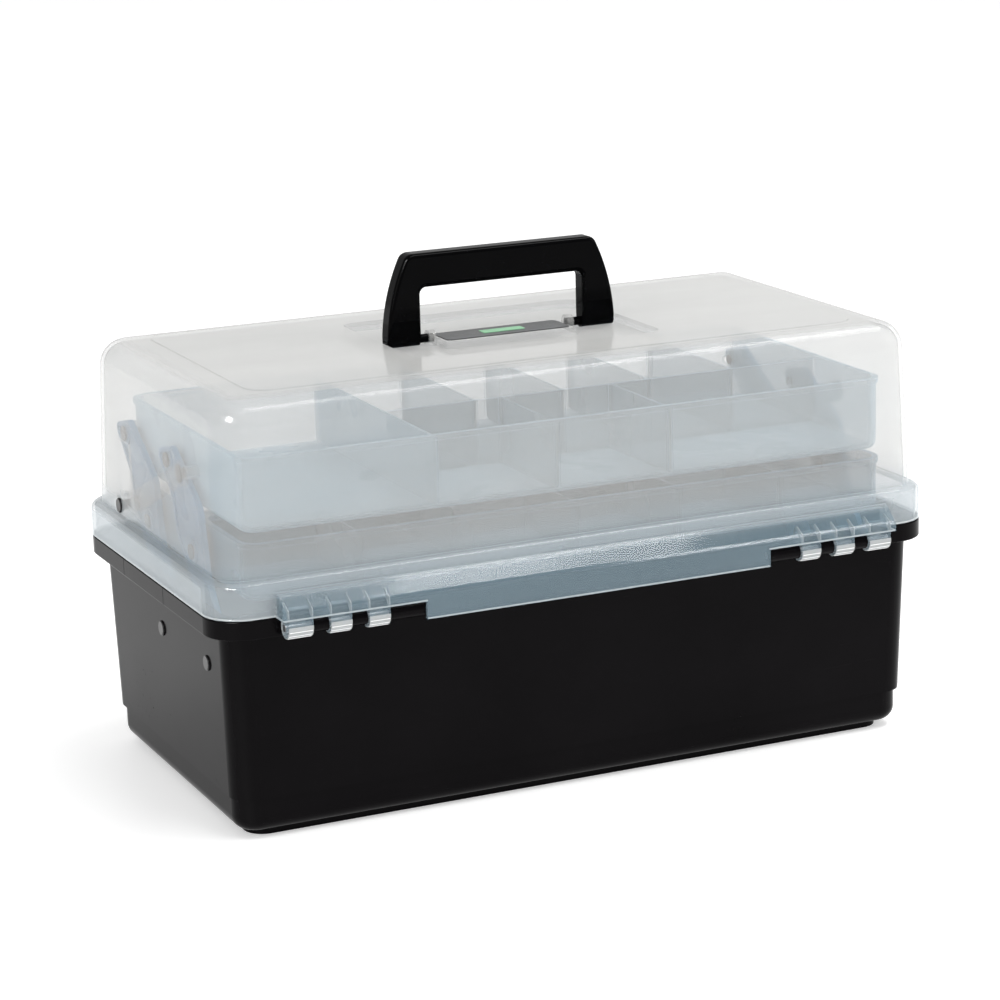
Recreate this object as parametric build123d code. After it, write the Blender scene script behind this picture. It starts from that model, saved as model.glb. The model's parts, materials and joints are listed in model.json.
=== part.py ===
from build123d import *
import os
from math import cos, radians, sin

# Sewing box: a black tub, a clear lid hinged along its rear edge, and two trays on swinging arms.
# X runs along the long side, Y points to the hinge side, Z is up.
# The origin is at floor level under the middle of the box. All sizes are millimetres.

# ---- overall sizes -------------------------------------------------------------------------
box_length = 440.0            # over the rims, along X
box_depth = 233.0             # over the rims, along Y
rim_height = 127.5            # top of the tub
lid_height = 116.5            # from the parting line to the highest part of the lid
rim_corner = 22.0             # plan corner of the rim

# ---- fits ----------------------------------------------------------------------------------
parting_gap = 0.4             # between tub and lid
running_clearance = 0.07      # radial, a pin in a moving bore
open_pivot_clearance = 0.3    # radial, in the bores that only follow
side_clearance = 0.5          # between knuckles, along the hinge
overlap = 0.5                 # how far shapes that become one piece run into each other
slot_clearance = 0.15         # each side of a loose divider

# ---- tub -----------------------------------------------------------------------------------
tub_wall = 2.6
foot_height = 4.0
foot_inset = 21.5             # rim outside to foot outside
foot_width = 4.0
step_height = 24.6            # where the lower band meets the wall
lower_inset = 12.7
wall_inset_low = 10.9
wall_inset_top = 8.1
wall_corner = 14.0
bottom_round = 8.0
rim_band = 10.6               # height of the overhanging rim
rim_thickness = 2.4
rim_round = 0.8
foot_corner = 12.0
rim_seams = (87.8, 156.9)     # rear rim to the fine seams in each end rim
seam_width = 0.5
seam_depth = 0.4
floor_inset = 15.2            # inside wall at the floor

# ---- lid -----------------------------------------------------------------------------------
lid_wall = 2.2
skirt_height = 20.2
skirt_round = 5.0
lid_inset_low = 6.2
lid_inset_top = 9.4
lid_corner = 16.5
lid_top_round = 15.5
panel_end_room = 35.0          # rim outside to the raised panel, at each end
panel_side_room = 27.5
panel_corner = 14.0
panel_step = 0.8
recess_length = 152.0
recess_depth = 118.0
recess_corner = 10.0
recess_drop = 5.4             # panel top to recess floor
link_pad_width = 24.0
link_pad_height = 42.0
link_pad_thickness = 1.2

# ---- rear hinge ----------------------------------------------------------------------------
hinge_out = 6.1               # rim outside to hinge axis
hinge_below = 4.5             # rim top to hinge axis
hinge_reach = 12.5            # how far hinge cover and latches stand out from the rim
rod_radius = 2.0
tub_knuckle_radius = 4.4
lid_knuckle_radius = 5.8
knuckle_offsets = ((61.0, 49.0), (39.0, 27.0), (17.0, 3.0))  # lid knuckles, back from the cover's end
hinge_span = 81.5             # cover's end to where the first tub knuckle starts
cover_end_room = 33.0         # rim outside to the end of the flared hinge cover
cover_wall = 2.0
cover_height = 14.0           # rim top to where the cover leaves the skirt
cover_edge = 6.0              # height of the cover's upright edge
cover_bevel = 1.2             # the edge's slanting top, upwards
cover_ledge = 1.8             # and inwards
cover_foot = 1.5              # rim outside to where the cover's slope ends
cover_root = 6.0              # how far the cover runs in under the skirt
hook_neck = 3.5               # hinge axis to the inner face of a lid knuckle's neck
hook_inset = 0.8              # cover outside to the neck's outer face
stop_lip_drop = 9.9

# ---- latches -------------------------------------------------------------------------------
latch_x = 105.0
latch_width = 38.0
latch_axis_out = 5.0
latch_axis_up = 12.0          # rim top to latch axis
latch_barrel = 4.3
latch_plate = 2.6
latch_pin_radius = 1.6
latch_ear = 4.5               # ear width along X
latch_hook = 3.0
latch_hook_gap = 1.1          # below the rim, while the latch hangs free
latch_clear = 0.5             # rim to hook, while the latch hangs free
latch_hook_bevel = 1.0
latch_tail = 8.0              # hook top to the end of the finger tail
latch_tail_lip = (2.4, 1.0)   # the tail's end face, inwards and downwards
latch_web = 1.5               # slope where the hook leaves the plate

# ---- handle --------------------------------------------------------------------------------
handle_foot_width = 143.0
handle_top_width = 117.0
handle_corner = 6.0
handle_bow = 67.8             # half width a little above the middle
handle_rise = 54.0            # recess floor to the top of the grip
handle_thickness = 12.5
grip_height = 19.7
handle_opening = 102.0
handle_axis_up = 4.2          # recess floor to the handle's axis
handle_foot_gap = 0.5
handle_round = 2.6
handle_taper = 12.0           # axis to where the foot reaches full thickness
handle_opening_corner = 4.0
handle_bow_share = 0.55       # how far up the handle its sides are handle_bow from the middle
trunnion_radius = 2.5
trunnion_end_gap = 0.2        # trunnion's end to the bottom of its bore
lug_skin = 0.4                # left on the lug behind the bore
lug_outer = 45.5
lug_width = 4.0
lug_radius = 4.5

# ---- badge ---------------------------------------------------------------------------------
badge_pad_length = 83.0
badge_pad_depth = 30.0
badge_pad_height = 4.0
badge_pad_shift = 3.0         # towards the hinge
badge_pad_slope = (1.5, 2.5)  # how far the pad's sides lean in, along X and Y
badge_margin = 1.5
badge_corner = 3.0
badge_thickness = 0.6
stripe_length = 26.0
stripe_depth = 8.0
stripe_thickness = 0.3
stripe_corner = 1.0

# ---- trays ---------------------------------------------------------------------------------
tray_end_room = 22.5          # rim outside to tray end
tray_side_room = 16.5         # rim outside to the trays' rear rims and the lower tray's front
upper_tray_step = 13.0        # lower tray's front to upper tray's front
lower_tray_lift = 4.0         # rim top to the lower tray's underside
lower_tray_height = 32.5
tray_gap = 5.0                # between the trays when closed
upper_tray_height = 42.0
tray_wall = 2.0
tray_lip = 1.2
tray_lip_height = 3.0
tray_corner = 12.0
tray_bottom_round = 5.0
partition_wall = 1.6
partition_drop = 2.0          # rim to the top of partitions and dividers
divider_thickness = 1.4
slot_rib = 1.2
lower_rear_row = 64.0         # clear depth of the lower tray's rear row
lower_rear_count = 6
lower_front_count = 3
upper_bin_length = 114.5      # tray end to the wall beside the large bin
upper_rear_row = 73.0         # clear depth of the upper tray's rear row
upper_rear_spaces = (72.0, 142.0)  # bin wall to the loose dividers in the rear row
upper_front_count = 5

# ---- arms and pins -------------------------------------------------------------------------
arm_pin_room = 44.2           # rear rim outside to the rear pins in the tub's end walls
arm_pin_drop = 33.0           # rim top to these pins
upper_pin_inset = 6.4         # upper tray's front to its front pins
arm_length = 123.0            # pin to pin
arm_lower_pin = 66.0          # along the arm, to the lower tray's pin
arm_lean_closed = 39.0        # degrees towards the front
arm_lean_open = -14.0
lid_opening = 100.0
arm_thickness = 3.4
arm_gap = 1.5                 # tray end rim to arm
arm_rib = 2.6
arm_recess = 0.9
arm_foot = ((-10.0, -10.0, 8.0), (-10.0, 9.0, 8.0), (44.0, 10.0, 20.0))     # base pin to corner, round
arm_head = ((-44.0, 27.5, 12.0), (-30.0, 23.0, 12.0), (3.0, 11.0, 4.0),      # tray pin to corner, round
            (14.0, -12.5, 4.0), (-18.0, -8.5, 14.0), (-38.0, -17.0, 14.0))
arm_heel = (40.0, -13.0, 20.0)  # base pin to corner, round
pin_radius = 3.0
pin_head = 4.4
pin_head_height = 1.0
pin_head_gap = 0.3
pin_head_fit = 0.05           # radial, a head in its seat
pin_head_bevel = 0.5
arm_pin_sink = 0.6            # how deep a head sits in the tub's wall
arm_pin_crown = 1.7           # seat to the head's outer face
boss_gap = 1.0                # arm to the tub's bosses
tray_pin_inside = 1.0         # how far a tray's pins show inside it
pin_boss = 7.0
link_pin_room = 54.9          # front rim outside to the link pins
link_stud_room = 34.1         # upper tray's rear pins to the studs for the links
link_pin_sink = 0.8
link_pin_crown = 1.9
link_thickness = 2.4
link_gap = 1.9                # arm to link
link_half_width = 6.0
link_eye = 7.5
rivet_radius = 3.0
rivet_head = 5.0
stud_radius = 3.5

# ---- worked out from the above ---------------------------------------------------------------
lid_bottom = rim_height + parting_gap
lid_top = lid_bottom + lid_height
shoulder = lid_bottom + skirt_height
recess_floor = lid_top - recess_drop
rim_y = box_depth / 2
hinge_y = rim_y + hinge_out
hinge_z = rim_height - hinge_below
cover_y = rim_y + hinge_reach
latch_y = -rim_y - latch_axis_out
latch_z = rim_height + latch_axis_up
handle_z = recess_floor + handle_axis_up
panel_length = box_length - 2 * panel_end_room
panel_depth = box_depth - 2 * panel_side_room
cover_end = box_length / 2 - cover_end_room
hinge_inner_end = cover_end - hinge_span
lid_knuckles = tuple((cover_end - far, cover_end - near) for far, near in knuckle_offsets)
tray_length = box_length - 2 * tray_end_room
tray_end = tray_length / 2
tray_rear = rim_y - tray_side_room
lower_tray_front = -tray_rear
upper_tray_front = lower_tray_front + upper_tray_step
lower_tray_floor = rim_height + lower_tray_lift
lower_tray_rim = lower_tray_floor + lower_tray_height
upper_tray_floor = lower_tray_rim + tray_gap
upper_tray_rim = upper_tray_floor + upper_tray_height
upper_bin_wall = tray_end - upper_bin_length
upper_rear_dividers = tuple(upper_bin_wall - space for space in upper_rear_spaces)
arm_pin_z = rim_height - arm_pin_drop
front_arm_y = upper_tray_front + upper_pin_inset + arm_length * sin(radians(arm_lean_closed))
arm_pin_y = (rim_y - arm_pin_room, front_arm_y)
link_pin_y = -rim_y + link_pin_room
arm_inner = tray_end + arm_gap
arm_outer = arm_inner + arm_thickness
link_inner = arm_outer + link_gap
link_outer = link_inner + link_thickness


def rounded_block(inset_low, inset_high, z_low, z_high, corner_low, corner_high=None):
    """A block that follows the box's plan, set in from the rim by one distance below and another above."""
    corner_high = corner_low if corner_high is None else corner_high
    low = RectangleRounded(box_length - 2 * inset_low, box_depth - 2 * inset_low, corner_low)
    high = RectangleRounded(box_length - 2 * inset_high, box_depth - 2 * inset_high, corner_high)
    return loft([Pos(0, 0, z_low) * low, Pos(0, 0, z_high) * high])


def block(x, y, z):
    """A box between two limits on each axis."""
    size = (x[1] - x[0], y[1] - y[0], z[1] - z[0])
    return Pos((x[0] + x[1]) / 2, (y[0] + y[1]) / 2, (z[0] + z[1]) / 2) * Box(*size)


def rod(x_low, x_high, y, z, radius):
    """A round bar along X."""
    bar = Cylinder(radius, x_high - x_low)
    return Pos((x_low + x_high) / 2, y, z) * Rot(0, 90, 0) * bar


def slab(points, x_low, x_high, rounds=0.0):
    """A closed outline in Y and Z, given thickness along X."""
    face = make_face(Polyline([(y, z) for y, z in points], close=True))
    if rounds:
        face = fillet(face.vertices(), rounds)
    plane = Plane(origin=(x_low, 0, 0), x_dir=(0, 1, 0), z_dir=(1, 0, 0))
    return extrude(plane * face, amount=x_high - x_low)


def both_ends(shape):
    """The shape and its mirror image at the other end of the box."""
    return shape + mirror(shape, about=Plane.YZ)


def edges_at(shape, z, tolerance=0.01):
    """The level edges of a shape at one height."""
    return [e for e in shape.edges() if abs(e.bounding_box().min.Z - z) < tolerance
            and abs(e.bounding_box().max.Z - z) < tolerance]


def lean_point(base_y, distance, lean):
    """A point on an arm that stands on the pin at base_y, with the given lean towards the front."""
    return base_y - distance * sin(radians(lean)), arm_pin_z + distance * cos(radians(lean))


def link_stud():
    """Where the links meet the upper tray: behind its rear pins, at their height."""
    y, z = lean_point(arm_pin_y[0], arm_length, arm_lean_closed)
    return y + link_stud_room, z


def tray_travel():
    """How far the trays go from the closed box to the open one."""
    down = Vector(*lean_point(0, arm_length, arm_lean_closed))
    return Vector(*lean_point(0, arm_length, arm_lean_open)) - down


def link_pin_height():
    """Height of the links' pins in the lid, so that one length suits the closed and the open box.

    Measured from the hinge, the stud goes from closed to opened while the pin turns with the lid, and both
    distances between them have to be equal. That is one linear equation in the pin's height.
    """
    stud = Vector(*link_stud())
    hinge = Vector(hinge_y, hinge_z)
    closed = stud - hinge
    opened = closed + tray_travel()
    turned = opened.rotate(Axis.Z, lid_opening)
    change = closed - turned
    half_gain = (closed.length ** 2 - opened.length ** 2) / 2
    return hinge_z + (half_gain - change.X * (link_pin_y - hinge_y)) / change.Y


link_pin_z = link_pin_height()


def make_tub():
    """The black tub with its foot ring, overhanging rim, hinge knuckles and pin bosses."""
    lower = rounded_block(lower_inset, lower_inset, foot_height, step_height, wall_corner)
    lower = fillet(edges_at(lower, foot_height), bottom_round)
    wall = rounded_block(wall_inset_low, wall_inset_top, step_height - 1, rim_height, wall_corner)
    band = rounded_block(0, 0, rim_height - rim_band, rim_height, rim_corner)
    band = fillet(edges_at(band, rim_height) + edges_at(band, rim_height - rim_band), rim_round)
    channel_top = rim_height - rim_thickness
    channel = rounded_block(rim_thickness, rim_thickness, rim_height - rim_band - 1, channel_top,
                            rim_corner - rim_thickness)
    foot = rounded_block(foot_inset, foot_inset, 0, foot_height + 1, foot_corner)
    foot -= rounded_block(foot_inset + foot_width, foot_inset + foot_width, -1, foot_height + 2,
                          foot_corner - foot_width / 2)
    inner_top = wall_inset_top + tub_wall
    cavity = rounded_block(floor_inset, inner_top, foot_height + tub_wall, rim_height + 0.01,
                           wall_corner - tub_wall)
    cavity = fillet(edges_at(cavity, foot_height + tub_wall), bottom_round - tub_wall)
    tub = lower + wall + (band - channel) + foot
    tub += make_tub_knuckles()
    tub -= cavity
    tub += make_pin_bosses()
    for distance in rim_seams:
        tub -= both_ends(rim_seam(rim_y - distance))
    for y in arm_pin_y:
        tub -= both_ends(rod(arm_outer, box_length / 2, y, arm_pin_z, pin_radius))
        tub -= both_ends(rod(pin_head_seat(), box_length / 2, y, arm_pin_z, pin_head))
    return tub


def rim_seam(y):
    """A fine upright groove in the end rim."""
    return block((box_length / 2 - seam_depth, box_length / 2 + 1), (y - seam_width / 2, y + seam_width / 2),
                 (rim_height - rim_band - 1, rim_height + 1))


def wall_x(z):
    """Outside of the tub's end wall at one height."""
    share = (z - step_height) / (rim_height - step_height)
    return box_length / 2 - wall_inset_low + share * (wall_inset_low - wall_inset_top)


def pin_head_seat():
    """Where the arm pins' outer heads sit in the tub's end wall."""
    return wall_x(arm_pin_z) - arm_pin_sink


def make_pin_bosses():
    """Round bosses inside the end walls, around the arm pins."""
    end = wall_x(arm_pin_z) - overlap
    bosses = [rod(arm_outer + boss_gap, end, y, arm_pin_z, pin_boss) for y in arm_pin_y]
    return both_ends(bosses[0] + bosses[1])


def tub_knuckle_spans():
    """The stretches along X that the tub's knuckles fill, on one side of the middle."""
    starts = [hinge_inner_end] + [span[1] + side_clearance for span in lid_knuckles[:-1]]
    ends = [span[0] - side_clearance for span in lid_knuckles]
    return list(zip(starts, ends))


def make_tub_knuckles():
    """Black knuckles on the rear rim, bored for the hinge rods."""
    knuckles = None
    for low, high in tub_knuckle_spans():
        barrel = rod(low, high, hinge_y, hinge_z, tub_knuckle_radius)
        web = block((low, high), (rim_y - rim_thickness, hinge_y),
                    (hinge_z - tub_knuckle_radius, hinge_z + tub_knuckle_radius - 1.0))
        piece = barrel + web - rod(low - 1, high + 1, hinge_y, hinge_z, rod_radius)
        knuckles = piece if knuckles is None else knuckles + piece
    return both_ends(knuckles)


def cover_outline(inset):
    """The flared hinge cover's section in Y and Z, set in by a wall thickness."""
    top = rim_height + cover_height - inset
    edge_top = lid_bottom + cover_edge - inset / 2
    outer = cover_y - inset
    root = rim_y - cover_root
    bottom = lid_bottom - 0.01 * inset
    return [(root, bottom), (outer, bottom), (outer, edge_top - cover_bevel), (outer - cover_ledge, edge_top),
            (rim_y + cover_foot, top), (root, top)]


def make_lid_knuckles():
    """Hook-shaped knuckles that hang from the lid's hinge cover and wrap the rods."""
    hooks = None
    for low, high in lid_knuckles:
        barrel = rod(low, high, hinge_y, hinge_z, lid_knuckle_radius)
        neck = block((low, high), (hinge_y - hook_neck, cover_y - hook_inset),
                     (hinge_z, lid_bottom + cover_edge - 2 * overlap))
        hook = barrel + neck
        hooks = hook if hooks is None else hooks + hook
    return both_ends(hooks)


def make_lid_body():
    """The lid's outer form, before it is hollowed."""
    skirt = rounded_block(0, 0, lid_bottom, shoulder, rim_corner)
    skirt = fillet(edges_at(skirt, shoulder), skirt_round)
    crown = rounded_block(lid_inset_low, lid_inset_top, shoulder - 1, lid_top - panel_step, lid_corner)
    crown = fillet(edges_at(crown, lid_top - panel_step), lid_top_round)
    panel = Pos(0, 0, lid_top - 2 * panel_step) * RectangleRounded(panel_length, panel_depth, panel_corner)
    return skirt + crown + extrude(panel, amount=2 * panel_step)


def make_lid_hollow():
    """The space inside the lid."""
    skirt = rounded_block(lid_wall, lid_wall, lid_bottom - 1, shoulder - lid_wall, rim_corner - lid_wall)
    crown = rounded_block(lid_inset_low + lid_wall, lid_inset_top + lid_wall, shoulder - lid_wall - 1,
                          lid_top - panel_step - lid_wall, lid_corner - lid_wall)
    crown = fillet(edges_at(crown, lid_top - panel_step - lid_wall), lid_top_round - lid_wall)
    return skirt + crown


def recess_block(inset, z_low, z_high):
    """The handle recess, or the same shape set out by a wall."""
    shape = RectangleRounded(recess_length + 2 * inset, recess_depth + 2 * inset, recess_corner + inset)
    return extrude(Pos(0, 0, z_low) * shape, amount=z_high - z_low)


def badge_pad_top():
    """Length and depth of the badge pad's upper face."""
    return badge_pad_length - 2 * badge_pad_slope[0], badge_pad_depth - 2 * badge_pad_slope[1]


def make_badge_pad():
    """A raised pad in the recess, with sloping sides, under the badge."""
    low = Rectangle(badge_pad_length, badge_pad_depth)
    high = Rectangle(*badge_pad_top())
    return loft([Pos(0, badge_pad_shift, recess_floor - overlap) * low,
                 Pos(0, badge_pad_shift, recess_floor + badge_pad_height) * high])


def make_handle_lugs():
    """Upright lugs beside the badge pad that carry the handle's trunnions."""
    low = lug_outer - lug_width
    lug = rod(low, lug_outer, 0, handle_z, lug_radius)
    lug += block((low, lug_outer), (-lug_radius, lug_radius), (recess_floor - overlap, handle_z))
    return both_ends(lug)


def latch_ear_spans():
    """X limits of the two ears that carry one latch."""
    inner = latch_width / 2 + side_clearance
    return ((latch_x - inner - latch_ear, latch_x - inner), (latch_x + inner, latch_x + inner + latch_ear))


def make_latch_ears():
    """Ears on the lid's front skirt that carry the latch pins."""
    ears = None
    for low, high in latch_ear_spans():
        ear = rod(low, high, latch_y, latch_z, latch_barrel)
        ear += block((low, high), (latch_y, -rim_y + lid_wall / 2),
                     (latch_z - latch_barrel, latch_z + latch_barrel))
        ears = ear if ears is None else ears + ear
    return both_ends(ears)


def lid_wall_x(z):
    """Outside of the lid's end wall at one height."""
    share = (z - shoulder) / (lid_top - panel_step - shoulder)
    return box_length / 2 - lid_inset_low - share * (lid_inset_top - lid_inset_low)


def make_link_bosses():
    """Thickened pads and round bosses inside the lid's ends, around the link pins."""
    inside = lid_wall_x(link_pin_z) - lid_wall
    pad_top = shoulder + link_pad_height
    pad = block((lid_wall_x(pad_top) - lid_wall - link_pad_thickness, lid_wall_x(pad_top) - lid_wall / 2),
                (link_pin_y - link_pad_width / 2, link_pin_y + link_pad_width / 2), (shoulder - 1, pad_top))
    boss = rod(link_outer + pin_head_gap, inside + lid_wall / 2, link_pin_y, link_pin_z, link_eye)
    return both_ends(pad + boss)


def make_lid():
    """The clear lid with hinge cover, stop lip, knuckles, handle recess, lugs and latch ears."""
    lid = make_lid_body()
    lid += slab(cover_outline(0), -cover_end, cover_end)
    hollow = make_lid_hollow()
    hollow += slab(cover_outline(cover_wall), cover_wall - cover_end, cover_end - cover_wall)
    hollow -= recess_block(lid_wall, recess_floor - lid_wall, lid_top)
    lid -= hollow
    lid -= recess_block(0, recess_floor, lid_top + 1)
    lip_end = hinge_inner_end - side_clearance
    lip = block((-lip_end, lip_end), (cover_y - cover_wall, cover_y),
                (lid_bottom - stop_lip_drop, lid_bottom + 1))
    lid += lip + make_lid_knuckles()
    lid += make_badge_pad() + make_handle_lugs() + make_latch_ears() + make_link_bosses()
    bores = rod(hinge_inner_end, cover_end - cover_wall, hinge_y, hinge_z, rod_radius + running_clearance)
    bores += rod(lug_outer - lug_width + lug_skin, lug_outer + 1, 0, handle_z,
                 trunnion_radius + running_clearance)
    bores += rod(link_inner, box_length / 2, link_pin_y, link_pin_z, pin_radius)
    bores += rod(lid_wall_x(link_pin_z) - link_pin_sink, box_length / 2, link_pin_y, link_pin_z, pin_head)
    for low, high in latch_ear_spans():
        bores += rod(low - overlap / 2, high + overlap / 2, latch_y, latch_z, latch_pin_radius)
    return lid - both_ends(bores)


def make_hinge_rod():
    """One of the two rods in the rear hinge, on the +X side."""
    return rod(hinge_inner_end, cover_end - cover_wall - side_clearance, hinge_y, hinge_z, rod_radius)


def make_latch():
    """A snap latch that hangs from the lid's ears and hooks under the tub's rim."""
    low = latch_x - latch_width / 2
    high = latch_x + latch_width / 2
    face = latch_y - latch_barrel
    inner = face + latch_plate
    hook_top = rim_height - rim_band - latch_hook_gap
    hook_low = hook_top - latch_hook
    tip = -rim_y - latch_clear
    tail = hook_top - latch_tail
    outline = [(face, latch_z), (face, hook_top - latch_hook_bevel), (-cover_y, tail),
               (-cover_y + latch_tail_lip[0], tail - latch_tail_lip[1]),
               (inner, hook_low - latch_web), (inner + latch_web, hook_low),
               (tip, hook_low), (tip, hook_top - latch_hook_bevel), (tip - latch_hook_bevel, hook_top),
               (inner, hook_top), (inner, latch_z)]
    latch = rod(low, high, latch_y, latch_z, latch_barrel) + slab(outline, low, high)
    return latch - rod(low - 1, high + 1, latch_y, latch_z, latch_pin_radius + running_clearance)


def make_latch_pin():
    """The pin through one latch and its two ears."""
    spans = latch_ear_spans()
    return rod(spans[0][0], spans[1][1], latch_y, latch_z, latch_pin_radius)


def make_handle():
    """The folding carrying handle with its two trunnions."""
    foot = recess_floor + handle_foot_gap
    top = recess_floor + handle_rise
    half_foot = handle_foot_width / 2
    half_top = handle_top_width / 2
    middle = foot + handle_bow_share * (top - foot)
    sides = [ThreePointArc((side * half_foot, foot), (side * handle_bow, middle), (side * half_top, top))
             for side in (1, -1)]
    face = make_face([sides[0], Line((half_top, top), (-half_top, top)), sides[1],
                      Line((-half_foot, foot), (half_foot, foot))])
    face = fillet([v for v in face.vertices() if v.Y > top - 1], handle_corner)
    face -= handle_gap(foot, top - grip_height)
    body = extrude(Plane.XZ * face, amount=handle_thickness / 2, both=True)
    long_edges = [e for e in body.edges() if abs(abs(e.center().Y) - handle_thickness / 2) < 0.01
                  and e.bounding_box().max.Z > foot + 0.1]
    body = fillet(long_edges, handle_round)
    foot_radius = handle_axis_up - handle_foot_gap
    inner = handle_opening / 2
    half = handle_thickness / 2
    keep = block((-half_foot, half_foot), (-half, half), (handle_z, top))
    feet = rod(inner, half_foot, 0, handle_z, foot_radius)
    feet &= block((inner, half_foot), (-foot_radius, foot_radius), (foot, handle_z + overlap))
    collar = slab([(-half, handle_z + handle_taper), (-foot_radius, handle_z), (foot_radius, handle_z),
                   (half, handle_z + handle_taper), (half, top), (-half, top)], -half_foot, half_foot)
    trunnion = rod(lug_outer - lug_width + lug_skin + trunnion_end_gap, (inner + half_foot) / 2, 0, handle_z,
                   trunnion_radius)
    return (body & keep & collar) + both_ends(feet) + both_ends(trunnion)


def handle_gap(low, high):
    """The outline of the space under the grip, with round upper corners."""
    gap = Pos(0, (low + high) / 2) * Rectangle(handle_opening, high - low)
    gap = fillet([v for v in gap.vertices() if v.Y > low + 1], handle_opening_corner)
    return gap + Pos(0, low) * Rectangle(handle_opening, 2 * overlap)


def make_badge():
    """A plain name plate on the pad."""
    length, depth = badge_pad_top()
    plate = RectangleRounded(length - 2 * badge_margin, depth - 2 * badge_margin, badge_corner)
    return extrude(Pos(0, badge_pad_shift, recess_floor + badge_pad_height) * plate, amount=badge_thickness)


def make_badge_stripe():
    """A plain coloured field on the name plate."""
    field = RectangleRounded(stripe_length, stripe_depth, stripe_corner)
    height = recess_floor + badge_pad_height + badge_thickness
    return extrude(Pos(0, badge_pad_shift, height) * field, amount=stripe_thickness)


def tray_shell(front, floor, rim):
    """An open tray with a rolled rim, rounded corners and a rounded bottom edge."""
    depth = tray_rear - front
    middle = (tray_rear + front) / 2

    def layer(inset, low, high, corner):
        shape = RectangleRounded(tray_length - 2 * inset, depth - 2 * inset, corner)
        return extrude(Pos(0, middle, low) * shape, amount=high - low)

    body = layer(tray_lip, floor, rim, tray_corner - tray_lip)
    body = fillet(edges_at(body, floor), tray_bottom_round)
    body += layer(0, rim - tray_lip_height, rim, tray_corner)
    inside = tray_lip + tray_wall
    hollow = layer(inside, floor + tray_wall, rim + 1, tray_corner - inside)
    hollow = fillet(edges_at(hollow, floor + tray_wall), tray_bottom_round - tray_wall)
    return body - hollow


def slot_pair(x, y_wall, direction, low, high):
    """Two upright ribs on a wall that hold one loose divider."""
    gap = divider_thickness / 2 + slot_clearance
    far = y_wall + direction * slot_rib
    near = y_wall - direction * overlap
    y = (min(near, far), max(near, far))
    return (block((x - gap - slot_rib, x - gap), y, (low, high))
            + block((x + gap, x + gap + slot_rib), y, (low, high)))


def divider(x, y_low, y_high, low, high):
    """One loose divider between two walls."""
    half = divider_thickness / 2
    plate = block((x - half, x + half), (y_low + slot_clearance, y_high - slot_clearance), (low, high))
    corners = edges_at(plate, low)
    return chamfer([e for e in corners if e.length < 2 * divider_thickness], tray_bottom_round - tray_wall)


def tray_bosses(pins):
    """Spacer bosses on a tray's end walls, around its pins."""
    bosses = None
    for y, z in pins:
        boss = rod(tray_end - tray_lip - 1, arm_inner - pin_head_gap, y, z, pin_boss)
        bosses = boss if bosses is None else bosses + boss
    return both_ends(bosses)


def tray_pins(distance):
    """Places of a tray's rear and front pins, at rest."""
    return [lean_point(y, distance, arm_lean_closed) for y in arm_pin_y]


def pin_holes(pins):
    """Holes through a tray's end walls and bosses for its pins."""
    holes = None
    for y, z in pins:
        hole = rod(tray_end - pin_boss, arm_inner, y, z, pin_radius)
        holes = hole if holes is None else holes + hole
    return both_ends(holes)


def inner_limits(front):
    """Inside faces of a tray: half length, front and rear."""
    inside = tray_lip + tray_wall
    return tray_end - inside, front + inside, tray_rear - inside


def lower_divider_places():
    """X of the loose dividers in the lower tray's rear row."""
    half, _, _ = inner_limits(lower_tray_front)
    pitch = 2 * half / lower_rear_count
    return [-half + pitch * n for n in range(1, lower_rear_count)]


def make_lower_tray():
    """The lower tray: a rear row of small compartments and a front row of larger ones."""
    tray = tray_shell(lower_tray_front, lower_tray_floor, lower_tray_rim)
    half, front, rear = inner_limits(lower_tray_front)
    z = (lower_tray_floor + tray_wall / 2, lower_tray_rim - partition_drop)
    row = rear - lower_rear_row
    tray += block((-half - overlap, half + overlap), (row - partition_wall, row), z)
    pitch = 2 * half / lower_front_count
    for n in range(1, lower_front_count):
        x = -half + pitch * n
        tray += block((x - partition_wall / 2, x + partition_wall / 2), (front - overlap, row), z)
    for x in lower_divider_places():
        tray += slot_pair(x, rear, -1, *z) + slot_pair(x, row, 1, *z)
    pins = tray_pins(arm_lower_pin)
    return tray + tray_bosses(pins) - pin_holes(pins)


def make_lower_dividers():
    """Loose dividers of the lower tray."""
    _, _, rear = inner_limits(lower_tray_front)
    z = (lower_tray_floor + tray_wall, lower_tray_rim - partition_drop)
    return [divider(x, rear - lower_rear_row, rear, *z) for x in lower_divider_places()]


def upper_front_places():
    """X of the loose dividers in the upper tray's front row."""
    half, _, _ = inner_limits(upper_tray_front)
    end = upper_bin_wall - partition_wall / 2
    pitch = (end + half) / upper_front_count
    return [-half + pitch * n for n in range(1, upper_front_count)]


def make_upper_tray():
    """The upper tray: one full-depth bin, a rear row and a front row."""
    tray = tray_shell(upper_tray_front, upper_tray_floor, upper_tray_rim)
    half, front, rear = inner_limits(upper_tray_front)
    z = (upper_tray_floor + tray_wall / 2, upper_tray_rim - partition_drop)
    row = rear - upper_rear_row
    wall = (upper_bin_wall - partition_wall / 2, upper_bin_wall + partition_wall / 2)
    tray += block(wall, (front - overlap, rear + overlap), z)
    tray += block((-half - overlap, upper_bin_wall), (row - partition_wall, row), z)
    for x in upper_rear_dividers:
        tray += slot_pair(x, rear, -1, *z) + slot_pair(x, row, 1, *z)
    for x in upper_front_places():
        tray += slot_pair(x, row - partition_wall, -1, *z) + slot_pair(x, front, 1, *z)
    pins = tray_pins(arm_length)
    y, height = link_stud()
    stud = both_ends(rod(tray_end - tray_lip - 1, link_inner - pin_head_gap, y, height, stud_radius))
    return tray + tray_bosses(pins) + stud - pin_holes(pins)


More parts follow.
